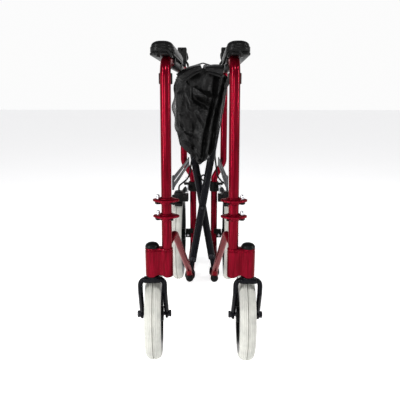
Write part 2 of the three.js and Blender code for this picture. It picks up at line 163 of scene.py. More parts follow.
def gloss_black():
    m, nodes, links, shader = material("black_gloss_paint", (0.006, 0.006, 0.008), 0.2, 0.0, 0.03, 0.0, 0.04)
    peel = noise_node(nodes, links, 260, 2)
    tint = [(0.35, (0.002, 0.002, 0.003)), (0.65, (0.006, 0.006, 0.008))]
    links.new(ramp(nodes, links, peel, tint), shader.inputs["Base Color"])
    bump(nodes, links, shader, peel, 0.05, 0.0003)
    return m


def metal(name, tone, rough):
    m, nodes, links, shader = material(name, tone, rough, 1.0)
    streak = noise_node(nodes, links, 320, 3, (1, 1, 8))
    dark = tuple(c * 0.7 for c in tone)
    colour = ramp(nodes, links, streak, [(0.3, dark), (0.7, tone)])
    links.new(colour, shader.inputs["Base Color"])
    bump(nodes, links, shader, streak, 0.08, 0.0002)
    return m


def tyre_rubber():
    m, nodes, links, shader = material("grey_tyre_rubber", (0.6, 0.6, 0.57), 0.72)
    dirt = noise_node(nodes, links, 38, 6)
    stops = [(0.3, (0.34, 0.34, 0.315)), (0.62, (0.47, 0.47, 0.43))]
    links.new(ramp(nodes, links, dirt, stops), shader.inputs["Base Color"])
    bump(nodes, links, shader, noise_node(nodes, links, 500, 4), 0.3, 0.0005)
    return m


def nylon(name, tone):
    m, nodes, links, shader = material(name, (tone, tone, tone), 0.27, 0.0, 0.0, 0.0, 0.14)
    waves = []
    for axis in ("X", "Z"):
        wave = nodes.new("ShaderNodeTexWave")
        wave.bands_direction = axis
        wave.inputs["Scale"].default_value = 300
        wave.inputs["Distortion"].default_value = 0.6
        links.new(coordinates(nodes, links, (1, 1, 1)), wave.inputs["Vector"])
        waves.append(wave.outputs["Fac"])
    weave = nodes.new("ShaderNodeMath")
    weave.operation = "MULTIPLY"
    links.new(waves[0], weave.inputs[0])
    links.new(waves[1], weave.inputs[1])
    shade = noise_node(nodes, links, 22, 5)
    stops = [(0.3, (tone * 0.6,) * 3), (0.7, (tone * 1.5,) * 3)]
    links.new(ramp(nodes, links, shade, stops), shader.inputs["Base Color"])
    mixed = nodes.new("ShaderNodeMath")
    mixed.operation = "MULTIPLY_ADD"
    mixed.inputs[1].default_value = 3.0
    links.new(noise_node(nodes, links, 60, 5), mixed.inputs[0])
    links.new(weave.outputs["Value"], mixed.inputs[2])
    bump(nodes, links, shader, mixed.outputs["Value"], 0.3, 0.0006)
    return m


RED = red_paint()
PLASTIC = moulded("black_moulded_plastic", 0.004, 0.34)
SKIN = moulded("black_pad_skin", 0.005, 0.32, 1500)
RUBBER = moulded("black_grip_rubber", 0.004, 0.5)
GLOSS = gloss_black()
ZINC = metal("zinc_plated_steel", (0.62, 0.63, 0.66), 0.3)
DARK_ZINC = metal("dark_zinc_steel", (0.035, 0.035, 0.04), 0.4)
GREY = metal("grey_link_metal", (0.055, 0.057, 0.063), 0.45)
TYRE = tyre_rubber()
NYLON = nylon("black_nylon", 0.003)
WEBBING = nylon("black_webbing", 0.006)


# ---- Mesh toolkit: shapes are lists of (vertices, faces) in millimetres ----
def joined(*shapes):
    vertices, faces = [], []
    for v, f in shapes:
        base = len(vertices)
        vertices += v
        faces += [[i + base for i in face] for face in f]
    return vertices, faces


def rings(sections, closed=True, caps=True, loop=False):
    """A skin over sections, each a list of as many points."""
    n = len(sections[0])
    vertices = [Vector(p) for s in sections for p in s]
    faces = []
    count = len(sections)
    for i in range(count if loop else count - 1):
        a, b = i * n, ((i + 1) % count) * n
        for k in range(n if closed else n - 1):
            j = (k + 1) % n
            faces.append([a + k, a + j, b + j, b + k])
    if caps and not loop:
        faces.append(list(range(n))[::-1])
        faces.append([(count - 1) * n + k for k in range(n)])
    return vertices, faces


def rounded(points, radius, chords=10):
    p = [Vector(q) for q in points]
    out = [p[0]]
    for i in range(1, len(p) - 1):
        back, ahead = p[i - 1] - p[i], p[i + 1] - p[i]
        turn = math.pi - back.angle(ahead)
        reach = min(radius * math.tan(turn / 2), 0.48 * min(back.length, ahead.length))
        start = p[i] + back.normalized() * reach
        end = p[i] + ahead.normalized() * reach
        for k in range(chords + 1):
            t = k / chords
            out.append(start * (1 - t) ** 2 + p[i] * 2 * t * (1 - t) + end * t * t)
    out.append(p[-1])
    return out


def tube(points, r, sides=28, bore=None, flat=1.0):
    """A round bar along points. bore=(radius, depth) hollows its far end; flat squeezes it one way."""
    p = [Vector(q) for q in points]
    side = Vector((0.31, 0.83, 0.46))
    sections, spines = [], []
    for i, at in enumerate(p):
        into = (at - p[i - 1]).normalized() if i else (p[1] - at).normalized()
        out = (p[i + 1] - at).normalized() if i < len(p) - 1 else into
        along = (into + out).normalized()
        side = (side - along * side.dot(along)).normalized()
        other = along.cross(side)
        spines.append((at, side.copy(), other, along))
        angles = [2 * math.pi * k / sides for k in range(sides)]
        sections.append(
            [at + (side * math.cos(a) * flat + other * math.sin(a)) * r for a in angles]
        )
    if bore:
        at, s, o, along = spines[-1]
        inner, depth = bore
        for back in (0, depth):
            centre = at - along * back
            sections.append(
                [centre + (s * math.cos(a) + o * math.sin(a)) * inner for a in angles]
            )
    return rings(sections)


def turned(profile, centre, axis="Z", sides=64):
    """A turned body: the profile is (radius, height) pairs along the axis from the centre."""
    sections = []
    for r, h in profile:
        ring = []
        for k in range(sides):
            a = 2 * math.pi * k / sides
            x, y = max(r, 0.01) * math.cos(a), max(r, 0.01) * math.sin(a)
            place = {"X": (h, x, y), "Y": (y, h, x), "Z": (x, y, h)}[axis]
            ring.append(Vector(centre) + Vector(place))
        sections.append(ring)
    return rings(sections)


def arc_profile(r, low, high, edge=1.5):
    """A plain turned bar's profile with softened ends."""
    return [
        (0, low),
        (r - edge, low),
        (r - edge * 0.3, low + edge * 0.3),
        (r, low + edge),
        (r, high - edge),
        (r - edge * 0.3, high - edge * 0.3),
        (r - edge, high),
        (0, high),
    ]


def ring_profile(inner, outer, low, high, edge=0.8):
    return [
        (inner, low + edge),
        (inner + edge, low),
        (outer - edge, low),
        (outer, low + edge),
        (outer, high - edge),
        (outer - edge, high),
        (inner + edge, high),
        (inner, high - edge),
        (inner, low + edge),
    ]


def turned_ring(profile, centre, axis="Z", sides=64):
    vertices, faces = turned(profile, centre, axis, sides)
    return vertices, faces[:-2]


def block(w, d, h, x, y, z, edge=2.0, turn=None):
    """A box with rounded upright edges and softened rims."""
    def outline(inset):
        pts = []
        for cx, cy, start in ((1, 1, 0), (-1, 1, 90), (-1, -1, 180), (1, -1, 270)):
            for k in range(6):
                a = math.radians(start + 18 * k)
                r = max(edge - inset, 0.05)
                pts.append(
                    (
                        cx * (w / 2 - edge) + r * math.cos(a),
                        cy * (d / 2 - edge) + r * math.sin(a),
                    )
                )
        return pts

    soft = edge * 0.6
    levels = [(-h / 2, soft), (-h / 2 + soft * 0.3, soft * 0.3), (-h / 2 + soft, 0)]
    levels += [(h / 2 - soft, 0), (h / 2 - soft * 0.3, soft * 0.3), (h / 2, soft)]
    rot = turn or Matrix.Identity(3)
    sections = [
        [Vector((x, y, z)) + rot @ Vector((px, py, level)) for px, py in outline(inset)]
        for level, inset in levels
    ]
    return rings(sections)


def strip(start, end, w, h):
    """A flat bar between two points, w across and h tall, with softened edges."""
    outline = []
    for cx, cz, first in ((1, 1, 0), (-1, 1, 90), (-1, -1, 180), (1, -1, 270)):
        for k in range(4):
            a = math.radians(first + 30 * k)
            outline.append((cx * (w / 2 - 1) + math.cos(a), cz * (h / 2 - 1) + math.sin(a)))
    return rings([[Vector(at) + Vector((x, 0, z)) for x, z in outline] for at in (start, end)])


def holed_block(w, d, h, x, y, z, hole, lift):
    """A block with softened edges and a blind round hole in its front face, lifted off its middle."""
    def outline(inset):
        pts = []
        for cx, cz, start in ((1, 1, 0), (-1, 1, 90), (-1, -1, 180), (1, -1, 270)):
            for k in range(8):
                a = math.radians(start + 90 * k / 7)
                r = 3 - inset
                pts.append((cx * (w / 2 - 3) + r * math.cos(a), cz * (h / 2 - 3) + r * math.sin(a)))
        return pts

    bore = []
    for px, pz in outline(0):
        away = Vector((px, pz - lift)).normalized() * hole
        bore.append((away.x, lift + away.y))
    front = y - d / 2
    levels = [(front + 9, bore), (front + 0.8, bore), (front, bore)]
    levels += [(front, outline(1.2)), (front + 0.5, outline(0.4)), (front + 1.4, outline(0))]
    levels += [(y + d / 2 - 1.4, outline(0)), (y + d / 2 - 0.5, outline(0.4)), (y + d / 2, outline(1.2))]
    return rings([[Vector((x + px, at, z + pz)) for px, pz in pts] for at, pts in levels])


def mirrored(shape, side):
    if side > 0:
        return shape
    vertices, faces = shape
    return [Vector((-v[0], v[1], v[2])) for v in vertices], [f[::-1] for f in faces]


def caster_side(shape, side):
    """Mirrored like the rest, and on the left turned about the stem as it stands at rest."""
    if side > 0:
        return shape
    vertices, faces = mirrored(shape, side)
    turn = Matrix.Rotation(math.radians(LEFT_CASTER_YAW), 3, "Z")
    stem = Vector((-STEM_X, STEM_Y, 0))
    return [stem + turn @ (v - stem) for v in vertices], faces


def piece(name, shape, mat, body=None, stands_for=(), smooth=40):
    vertices, faces = shape
    mesh = bpy.data.meshes.new(name)
    mesh.from_pydata([[c * MM for c in v] for v in vertices], [], faces)
    mesh.validate()
    work = bmesh.new()
    work.from_mesh(mesh)
    bmesh.ops.remove_doubles(work, verts=work.verts, dist=1e-5)
    bmesh.ops.recalc_face_normals(work, faces=work.faces)
    work.to_mesh(mesh)
    work.free()
    mesh.shade_smooth()
    mesh.set_sharp_from_angle(angle=math.radians(smooth))
    mesh.materials.append(mat)
    o = bpy.data.objects.new(name, mesh)
    bpy.context.collection.objects.link(o)
    if body:
        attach(o, body)
    if stands_for:
        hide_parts(*stands_for)
    return o


def finish_node(name, mat):
    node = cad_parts[name]
    node.data.materials.clear()
    node.data.materials.append(mat)


# ---- Wheels ----
def tyre_profile(outer, inner, width, ribs):
    """Half-round tread with fine ribs and one deep centre groove, closed at the rim bead."""
    half = width / 2
    crown = 15
    out = [(inner, -half * 0.6), (inner + 8, -half * 0.9), (outer - crown, -half + 0.4)]
    steps = 56
    for k in range(steps + 1):
        a = math.pi * k / steps
        h = -half * math.cos(a)
        lift = crown * math.sin(a) ** 0.75
        rib = 0.55 * math.cos(2 * math.pi * ribs * (h / width + 0.5))
        inside = abs(h) < half * 0.8
        groove = 2.4 * math.exp(-((h / 0.9) ** 2))
        out.append((outer - crown + lift - 0.55 + (rib if inside else 0) - groove, h))
    out += [(outer - crown, half - 0.4), (inner + 8, half * 0.9), (inner, half * 0.6)]
    out.append(out[0])
    return out


def wheel(side, suffix, which, at, outer, inner, width, hub_r, bore_r, hub_w):
    x, y, z = at
    body = f"{which}_wheel_{'right' if side > 0 else 'left'}"
    place = caster_side if which == "front" else mirrored
    tyre = turned_ring(tyre_profile(outer, inner, width, 9), at, "X", 128)
    piece(f"{which}_tyre_ribbed_{suffix}", place(tyre, side), TYRE, body,
          [f"{which}_tyre_{suffix}"], 60)
    r = inner - GAP
    lip = [(r - 9, -9), (r - 8, -10.5), (r - 1, -11), (r, -10), (r, 10), (r - 1, 11)]
    lip += [(r - 8, 10.5), (r - 9, 9), (r - 9, -9)]
    parts = [turned_ring(lip, at, "X", 96)]
    for low, high in ((-width / 2 + 0.1, -width / 2 + 2.2), (width / 2 - 2.2, width / 2 - 0.1)):
        parts.append(turned_ring(ring_profile(r - 9, r + 13, low, high, 0.8), at, "X", 96))
        near_side, far_side = sorted((low, math.copysign(9, low)))
        parts.append(turned_ring(ring_profile(r - 9, r - 6, near_side, far_side, 0.5), at, "X", 96))
    hub = ring_profile(bore_r, hub_r, -hub_w / 2, hub_w / 2, 1.5)
    parts.append(turned_ring(hub, at, "X", 40))
    parts.append(turned_ring(ring_profile(hub_r - 2, hub_r + 6, -6, 6, 1.5), at, "X", 40))
    for k in range(5):
        a = math.radians(72 * k)
        sections = []
        for t in (0, 0.25, 0.6, 1):
            reach = hub_r * 0.7 + (r - 5 - hub_r * 0.7) * t
            wide = (hub_r * 0.5) * (1 - t) ** 1.5 + 6.5
            thick = 5 - 1.2 * t
            ring = []
            for j in range(12):
                b = 2 * math.pi * j / 12
                local = Vector((thick * math.cos(b), wide * math.sin(b), reach))
                ring.append(Vector(at) + Matrix.Rotation(a, 3, "X") @ local)
            sections.append(ring)
        parts.append(rings(sections))
    piece(f"{which}_rim_spoked_{suffix}", place(joined(*parts), side), PLASTIC, body,
          [f"{which}_rim_{suffix}"])


# ---- One side of the rollator ----
def bezier_point(start, bend, end, t):
    """The point at t on the curve from start to end that leans towards bend, in two dimensions."""
    return tuple((1 - t) ** 2 * start[i] + 2 * t * (1 - t) * bend[i] + t * t * end[i] for i in (0, 1))


def dumbbell(inset=0.0):
    """Outline of the two joined caster barrels, with a pinched web between them."""
    ax, ay, ar = STEM_X, STEM_Y, 15.5 - inset
    bx, by, br = FRONT_TUBE_X_LOW, FRONT_TUBE_Y, 13.5 - inset
    out = []
    for k in range(25):
        a = math.radians(-128 + 256 * k / 24)
        out.append((ax + ar * math.cos(a), ay + ar * math.sin(a)))
    bend = (0.5 * (ax + bx), by + 9.5 - inset)
    start, end = out[-1], (bx + br * math.cos(math.radians(52)), by + br * math.sin(math.radians(52)))
    for k in range(1, 6):
        t = k / 6
        out.append(bezier_point(start, bend, end, t))
    for k in range(25):
        a = math.radians(52 + 256 * k / 24)
        out.append((bx + br * math.cos(a), by + br * math.sin(a)))
    start, end = out[-1], out[0]
    bend = (0.5 * (ax + bx), by - 9.5 + inset)
    for k in range(1, 6):
        t = k / 6
        out.append(bezier_point(start, bend, end, t))
    return out


def scallop(x):
    """How far the housing's lower rim is lifted: most at the web between the barrels."""
    t = (x - FRONT_TUBE_X_LOW) / (STEM_X - FRONT_TUBE_X_LOW)
    return 5.0 * max(0.0, math.sin(math.pi * min(max(t, 0), 1))) ** 2


def housing():
    levels = [(0, 1.6), (0.6, 0.5), (2, 0), (4, 0)]
    from_top = ((7, 0), (6, 0.9), (4.5, 0.9), (3.5, 0), (2, 0), (0.6, 0.5), (0, 1.6))
    levels += [(HOUSING_TOP - HOUSING_LOW - depth, inset) for depth, inset in from_top]
    sections = []
    for lift, inset in levels:
        high = HOUSING_TOP - HOUSING_LOW
        sections.append(
            [
                Vector((x, y, HOUSING_LOW + lift + scallop(x) * (1 - lift / high)))
                for x, y in dumbbell(inset)
            ]
        )
    return rings(sections)


def layered(outline, levels, at):
    return rings(
        [[Vector((at[0] + x, at[1] + y, z)) for x, y in outline(inset)] for z, inset in levels]
    )


def capsule_outline(w, front, rear, round_r):
    def made(inset):
        out = []
        r = max(round_r - inset, 1.0)
        hw = w / 2 - inset
        lo, hi = front + inset, rear - inset
        for cx, cy, start in ((1, 1, 0), (-1, 1, 90), (-1, -1, 180), (1, -1, 270)):
            for k in range(9):
                a = math.radians(start + 90 * k / 8)
                x = cx * (hw - r) + r * math.cos(a)
                y = (hi - r if cy > 0 else lo + r) + r * math.sin(a)
                out.append((x, y))
        return out

    return made


def leaf(inset):
    out = []
    for k in range(48):
        a = 2 * math.pi * k / 48
        reach = 28 - inset
        deep = 18.5 - inset
        x = math.cos(a)
        y = math.sin(a) * (1 - 0.42 * abs(x) ** 2.4)
        out.append((reach * x, deep * y))
    return out


def hex_nut(x, y, z, r, low, high, axis="Z"):
    return turned([(0, low), (r - 1, low), (r, low + 1), (r, high - 1), (r - 1, high), (0, high)],
                  (x, y, z), axis, 6)


for side, suffix, word in ((-1, "L", "left"), (1, "R", "right")):
    fixed = f"frame_{word}"

    def put(name, shape, mat, body, stands_for=(), smooth=40, place=mirrored):
        nodes = [f"{n}_{suffix}" for n in stands_for]
        return piece(f"{name}_{suffix}", place(shape, side), mat, body, nodes, smooth)

    # Red tubes.
    front_path = rounded(
        [(FRONT_TUBE_X_LOW, FRONT_TUBE_Y, 226), (FRONT_TUBE_X_TOP, FRONT_TUBE_Y, ARM_TUBE_Z),
         (POST_X_TOP, REAR_AXLE_Y, ARM_TUBE_Z)], 42, 14)
    put("front_and_arm_tube", tube(front_path, 11, 40), RED, fixed, ["front_tube"])
    post_path = rounded(
        [(RAIL_X, RAIL_FRONT_Y, RAIL_Z), (RAIL_X, REAR_AXLE_Y, RAIL_Z), (RAIL_X, REAR_AXLE_Y, 346),
         (POST_X_TOP, REAR_AXLE_Y, 396), (POST_X_TOP, REAR_AXLE_Y, POST_TOP_Z)], 40, 10)
    strut_path = rounded(
        [(FRONT_TUBE_X_LOW - 3, FRONT_TUBE_Y + 4, 296), (58, -276, 312), (37, -66, RAIL_Z + 30),
         (RAIL_X, RAIL_FRONT_Y + 7, RAIL_Z + 2)], 30, 10)
    boss = turned(arc_profile(11, 0, 20.5), (RAIL_X + 1, REAR_AXLE_Y, 150), "X", 36)
    red = joined(tube(post_path, POST_R, 36, bore=(9.5, 250)), tube(strut_path, 8, 28), boss)
    put("rear_post_and_rail", red, RED, fixed, ["rear_frame"])
    cap = [(0, -7), (5, -6.8), (8.6, -5.4), (10.4, -3.2), (10.9, -GAP), (0, -GAP)]
    put("rail_end_cap", turned(cap, (RAIL_X, RAIL_FRONT_Y, RAIL_Z), "Y", 40), PLASTIC, fixed,
        ["rail_cap"])

    # Caster housing and its domed cap.
    put("caster_housing_cast", housing(), RED, fixed, ["caster_housing"], 35)
    dome = [(0, 0), (15, 0), (15.3, 0.8), (15.3, 2.6), (14.6, 3.6)]
    dome += [(14.4 * math.cos(a), 3.8 + 7 * math.sin(a)) for a in [math.pi / 16 * k for k in range(1, 8)]]
    dome.append((0, 10.9))
    put("housing_dome", turned(dome, (STEM_X, STEM_Y, HOUSING_TOP + GAP), "Z", 48), PLASTIC, fixed,
        ["housing_cap"], 30)

    # Fork.
    def eye(x):
        return turned(ring_profile(4.9, 11, -3, 3, 1), (x, FRONT_AXLE_Y, FRONT_WHEEL_R), "X", 36)

    fork_path = rounded(
        [(FORK_X - FORK_HALF, FRONT_AXLE_Y, FRONT_WHEEL_R + 2), (FORK_X - FORK_TOP_HALF, STEM_Y + 1, 180),
         (FORK_X - FORK_TOP_HALF, STEM_Y - 1, 213.5), (FORK_X + FORK_TOP_HALF, STEM_Y - 1, 213.5),
         (FORK_X + FORK_TOP_HALF, STEM_Y + 1, 180), (FORK_X + FORK_HALF, FRONT_AXLE_Y, FRONT_WHEEL_R + 2)],
        16, 12)
    crown = joined(
        turned(arc_profile(8, 214, 274), (STEM_X, STEM_Y, 0), "Z", 32),
        turned(arc_profile(14.5, 212, HOUSING_LOW - GAP, 1.2), (STEM_X, STEM_Y, 0), "Z", 40),
        block(38, 20, 10.6, FORK_X, STEM_Y - 4, 213.5, 4),
        tube(fork_path, 5.6, 24),
        eye(FORK_X - FORK_HALF),
        eye(FORK_X + FORK_HALF),
    )
    put("caster_fork_arched", crown, GLOSS, f"fork_{word}", ["caster_fork"],
        place=caster_side)
    hub_at = (FORK_X, FRONT_AXLE_Y, FRONT_WHEEL_R)
    nuts = [turned(arc_profile(4.5, -38, 38), hub_at, "X", 24)]
    for end in (-1, 1):
        low, high = sorted((end * 34.4, end * 40))
        nuts.append(hex_nut(*hub_at, 7.9, low, high, "X"))
        nuts.append(turned(arc_profile(7.9, *sorted((end * 32.3, end * 34.2)), 0.5), hub_at, "X", 32))
    put("caster_axle_bolt", joined(*nuts), DARK_ZINC, f"fork_{word}", ["caster_axle"],
        place=caster_side)

    # Wheels.
    wheel(side, suffix, "front", (FORK_X, FRONT_AXLE_Y, FRONT_WHEEL_R), FRONT_WHEEL_R, 76,
          FRONT_TYRE_W, 18, 4.9, 44)
    wheel(side, suffix, "rear", (REAR_WHEEL_X, REAR_AXLE_Y, REAR_WHEEL_R), REAR_WHEEL_R, 118,
          REAR_TYRE_W, 20, 6.4, 44)
    axle = joined(
        turned(arc_profile(6, 51, 118), (0, REAR_AXLE_Y, REAR_WHEEL_R), "X", 28),
        turned(arc_profile(9.6, 105.4, 107.4, 0.5), (0, REAR_AXLE_Y, REAR_WHEEL_R), "X", 32),
        hex_nut(0, REAR_AXLE_Y, REAR_WHEEL_R, 8.8, 107.6, 116, "X"),
        turned([(0, 115), (6.4, 115), (6, 117.4), (4, 119.2), (0, 119.9)],
               (0, REAR_AXLE_Y, REAR_WHEEL_R), "X", 28),
    )
    put("rear_axle_bolt", axle, ZINC, fixed, ["rear_axle"])
    gripper = joined(
        block(17, 20, 26, 50.5, REAR_AXLE_Y - 12, 158, 3),
        block(12, 8, 16, 40, REAR_AXLE_Y - 13, 166, 2),
    )
    put("axle_clamp", gripper, PLASTIC, fixed, ())
    clamp_bolt = hex_nut(51, 0, 154, 4.4, REAR_AXLE_Y - 25.6, REAR_AXLE_Y - 22.2, "Y")
    put("axle_clamp_bolt", clamp_bolt, ZINC, fixed, ())
    rods = joined(
        turned(arc_profile(1.8, 322, 350, 0.5), (57, 196, 0), "Z", 14),
        turned(arc_profile(3.8, 304, 329.4, 0.8), (52, 172, 0), "Z", 24),
    )
    put("brake_adjuster_rod", rods, ZINC, fixed, ())

    # Armrest tray and pad.
    tray_outline = capsule_outline(PAD_W, PAD_FRONT_Y, PAD_REAR_Y, 14)
    tray = layered(tray_outline, [(TRAY_LOW, 1), (TRAY_LOW + 0.8, 0), (TRAY_LOW + 4.2, 0), (TRAY_LOW + 5, 1)],
                   (PAD_X, 0))
    saddles = [block(28, 20, 12, 68 - 1.2 * k, y, 683, 3) for k, y in enumerate((-232, -34))]
    # A black sleeve over the red arm tube, from under the pad to behind it: painted shade that darkens the
    # tube where the pad shades it.
    shade_sleeve = tube([(68.2, -216, ARM_TUBE_Z), (65.5, 64, ARM_TUBE_Z)], 11.8, 40)
    put("armrest_tray_and_shade_sleeve", joined(tray, shade_sleeve, *saddles), PLASTIC, fixed, ["arm_base"])
    low = TRAY_LOW + 5 + GAP
    crown_levels = [(low, 1.4), (low + 1.5, 0), (low + 10, 0), (low + 11, 0.8), (low + 11.3, 1.8)]
    crown_levels += [
        (low + 11.5 + 11.3 * math.sin(a) ** 0.9, 1.8 + 19 * (1 - math.cos(a)) ** 1.05)
        for a in [math.pi / 2 * k / 10 for k in range(1, 11)]
    ]
    pad = layered(capsule_outline(PAD_W, PAD_FRONT_Y, PAD_REAR_Y, 21), crown_levels, (PAD_X, 0))
    pad_piece = put("armrest_pad_skin", pad, SKIN, fixed, ["arm_pad"], 60)
    arch = []
    for k in range(17):
        a = math.pi * k / 16
        ring = []
        for reach, y in ((11.3, -322.6), (15, -323.4), (15.4, -322.4), (15.4, -300), (11.3, -300)):
            ring.append(Vector((FRONT_TUBE_X_TOP + reach * math.cos(a), y, 683 + reach * math.sin(a))))
        arch.append(ring)
    put("armrest_arch", rings(arch), PLASTIC, fixed, ())

    # Anchor clip and footrest hangers on the front tube.
    clip = block(27, 13.6, 22, 69.3, FRONT_TUBE_Y + 7, 643, 3)
    put("tube_anchor_clip", clip, PLASTIC, fixed, ["tube_clip"])
    for tag, z in (("upper", 392), ("lower", 357)):
        at = (FRONT_TUBE_X_TOP + 3, FRONT_TUBE_Y - 2)
        x = 89
        made = joined(
            layered(leaf, [(z, 1), (z + 0.6, 0), (z + 4.4, 0), (z + 5, 1)], at),
            turned_ring(ring_profile(11.5, 14, z - 6, z + 8, 1), (71.8, FRONT_TUBE_Y, 0), "Z", 40),
        )
        put(f"hanger_plate_{tag}", made, RED, fixed, [f"hanger_{tag}"])
        pin = turned([(0, z + 5.2), (3.9, z + 5.2), (3.9, z + 11), (3, z + 14), (0, z + 15)],
                     (x, FRONT_TUBE_Y - 2, 0), "Z", 24)
        put(f"hanger_pin_{tag}", pin, ZINC, fixed, ())
        nut = joined(hex_nut(x, FRONT_TUBE_Y - 2, 0, 6.8, z - 6, z - 0.2),
                     hex_nut(x - 30, FRONT_TUBE_Y - 15, 0, 3.6, z - 4, z - 0.2))
        put(f"hanger_nut_{tag}", nut, PLASTIC, fixed, ())
    links_made = joined(
        *[strip((56, FRONT_TUBE_Y + 14, 438 + dz), (50, REAR_AXLE_Y - 12, 404 + dz), 4, 8.6)
          for dz in (0, -15)],
        block(4, 16, 30, 57, FRONT_TUBE_Y + 9, 430, 1.6),
        block(4, 20, 30, 48.5, REAR_AXLE_Y - 9, 397, 1.6),
        turned(arc_profile(3.4, -4, 4, 0.6), (53, REAR_AXLE_Y - 16, 404), "X", 16),
        turned(arc_profile(3.4, -4, 4, 0.6), (53, REAR_AXLE_Y - 16, 389), "X", 16),
    )
    put("side_link_strips", links_made, GREY, fixed, ["link_bars"])

    # Brake.
    arm = rounded([(44, 206, 316), (58, 180, 314), (66, 130, 308)], 20, 8)
    bracket = joined(
        turned_ring(ring_profile(10.9, 15, 300, 332, 1.5), (RAIL_X, REAR_AXLE_Y, 0), "Z", 40),
        tube(arm, 7, 24),
        block(26, 34, 30, 74, BLOCK_Y, 306, 4),
        block(18, 28, 22, 54, BLOCK_Y, 302, 3),
        block(20, 12, 7, 52, 172, 333, 2.5),
        turned(arc_profile(4.5, -20, -16), (74, BLOCK_Y, 306), "Y", 20),
    )
    put("brake_bracket_cast", bracket, PLASTIC, fixed, ["brake_bracket"])
    shoe = joined(
        block(24, 30, 9, 74, BLOCK_Y - 8, 283, 3),
        block(5.6, 10, 30, 90.5, BLOCK_Y - 4, 294, 2),
        turned(arc_profile(7, -3, 4.5), (90.5, BLOCK_Y - 4, 304), "X", 28),
        block(18, 10, 7, 83, BLOCK_Y - 4, 283, 2),
    )
    put("brake_shoe_moulded", shoe, RUBBER, f"shoe_{word}", ["brake_shoe"])

    # Push handle.
    hx = POST_X_TOP + 2
    finish_node(f"handle_stalk_{suffix}", GLOSS)
    grip_z = HEAD_Z - 3
    head = joined(
        holed_block(27, 26, 40, hx + 0.5, REAR_AXLE_Y, grip_z, 4.5, 13),
        turned(arc_profile(12, -2, 11), (hx, REAR_AXLE_Y + 13, grip_z), "Y", 32),
    )
    put("handle_head_moulded", head, PLASTIC, f"handle_{word}", ["handle_head"], 30)
    start = REAR_AXLE_Y + 24 + GAP
    grip = [(0, 0), (15.2, 0), (15.4, 1), (15.4, 4.6), (13.4, 5.6)]
    for k in range(61):
        h = 8 + 96 * k / 60
        swell = 12.8 + 0.5 * math.sin(math.pi * k / 60)
        grip.append((swell - 0.8 * (k % 4 == 0), h))
    grip += [(12.6, 106), (10, 107.4), (0, 107.6)]
    put("push_grip_ribbed", turned(grip, (hx, start, grip_z), "Y", 40), RUBBER, f"handle_{word}",
        ["grip"])
    lever_path = rounded([(hx, REAR_AXLE_Y + 17, 701), (hx, REAR_AXLE_Y + 44, 686),
                          (hx, REAR_AXLE_Y + 128, 688)], 30, 10)
    lever = joined(
        tube(lever_path, 5, 20),
        turned(arc_profile(3.6, -10, 10, 0.8), (hx, REAR_AXLE_Y + 19, 701), "X", 20),
    )
    put("brake_lever_bent", lever, GLOSS, f"lever_{word}", ["brake_lever"])
    knob = [(0, GAP), (6, GAP), (6, 8.4)]
    knob += [(12.5, 9), (13.8, 11), (13.8, 19), (12.4, 21.4), (0, 22)]
    put("height_knob_turned", turned(knob, (POST_X_TOP, REAR_AXLE_Y + 12, 640), "Y", 28), PLASTIC,
        f"knob_{word}", ["height_knob"])
    cable = rounded(
        [(POST_X_TOP - 14, REAR_AXLE_Y + 16, 698), (POST_X_TOP - 20, REAR_AXLE_Y + 14, 560),
         (POST_X_TOP - 28, REAR_AXLE_Y - 34, 420), (POST_X_TOP - 20, BLOCK_Y + 40, 356),
         (74, BLOCK_Y, 338), (74, BLOCK_Y, 322)], 50, 10)
    cable_piece = put("brake_cable_sheath", tube(cable, CABLE_WIDTH / 2, 14), RUBBER, None, ["brake_cable"],
                      60)
    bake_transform(cable_piece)
    boot = tube([(POST_X_TOP - 14, REAR_AXLE_Y + 16, 696.5), (POST_X_TOP - 13, REAR_AXLE_Y + 15, 702),
                 (POST_X_TOP - 7, REAR_AXLE_Y + 11, 710)], 3.5, 20)
    put("cable_boot", boot, RUBBER, f"handle_{word}", (), 60)


# ---- Cross brace ----
def cross_bar(y, side):
    tilt = math.atan2(RAIL_X + SEAT_X, SEAT_Z - RAIL_Z)
    along = Vector((math.sin(tilt), 0, math.cos(tilt)))
    reach = math.hypot(RAIL_X + SEAT_X, SEAT_Z - RAIL_Z)
    low = Vector((-RAIL_X, y, RAIL_Z))
    turn = Matrix.Rotation(tilt, 3, "Y")
    clevis_at = low + along * 31
    bolt_at = low + along * 50
    shape = joined(
        turned_ring(ring_profile(10.9, 14.5, -10, 10, 1.5), low, "Y", 48),
        block(13, 13, 36, *clevis_at, 3, turn),
        tube([low + along * 40, low + along * (reach - 11)], 10, 36),
        turned_ring(ring_profile(9.6, 12.5, -9, 9, 1), (SEAT_X, y, SEAT_Z), "Y", 40),
    )
    bolt = joined(
        turned([(0, -13.6), (5, -13.2), (6.4, -12), (6.6, -9.5), (0, -9.5)], bolt_at, "Y", 28),
        hex_nut(*bolt_at, 3.2, -14.2, -13, "Y"),
    )
    return mirrored(shape, side), mirrored(bolt, side)


for tag, body, y, side in (("A", "cross_a", -33, 1), ("B", "cross_b", -9.5, -1)):
    bar, bolt = cross_bar(y, side)
    piece(f"cross_brace_tube_{tag}", bar, GLOSS, body, [f"cross_bar_{tag}"])
    piece(f"clevis_bolt_{tag}", bolt, DARK_ZINC, body, ())
    rail = joined(
        tube([(side * SEAT_X, -70, SEAT_Z), (side * SEAT_X, 184, SEAT_Z)], 9, 32),
        turned([(0, -2), (7, -1.8), (9, 0), (9.2, 2), (0, 2)], (side * SEAT_X, -70, SEAT_Z), "Y", 32),
    )
    piece(f"seat_rail_tube_{tag}", rail, GLOSS, body, [f"seat_rail_{tag}"])
cross_z = RAIL_Z + (SEAT_Z - RAIL_Z) * RAIL_X / (RAIL_X + SEAT_X)
pivot = joined(
    turned(arc_profile(4, -47, 5), (0, 0, cross_z), "Y", 24),
    hex_nut(0, 0, cross_z, 4.2, -48.8, -45.6, "Y"),
    hex_nut(0, 0, cross_z, 4.2, 3.2, 6.4, "Y"),
)
piece("pivot_bolt_turned", pivot, DARK_ZINC, "cross_a", ["pivot_bolt"])
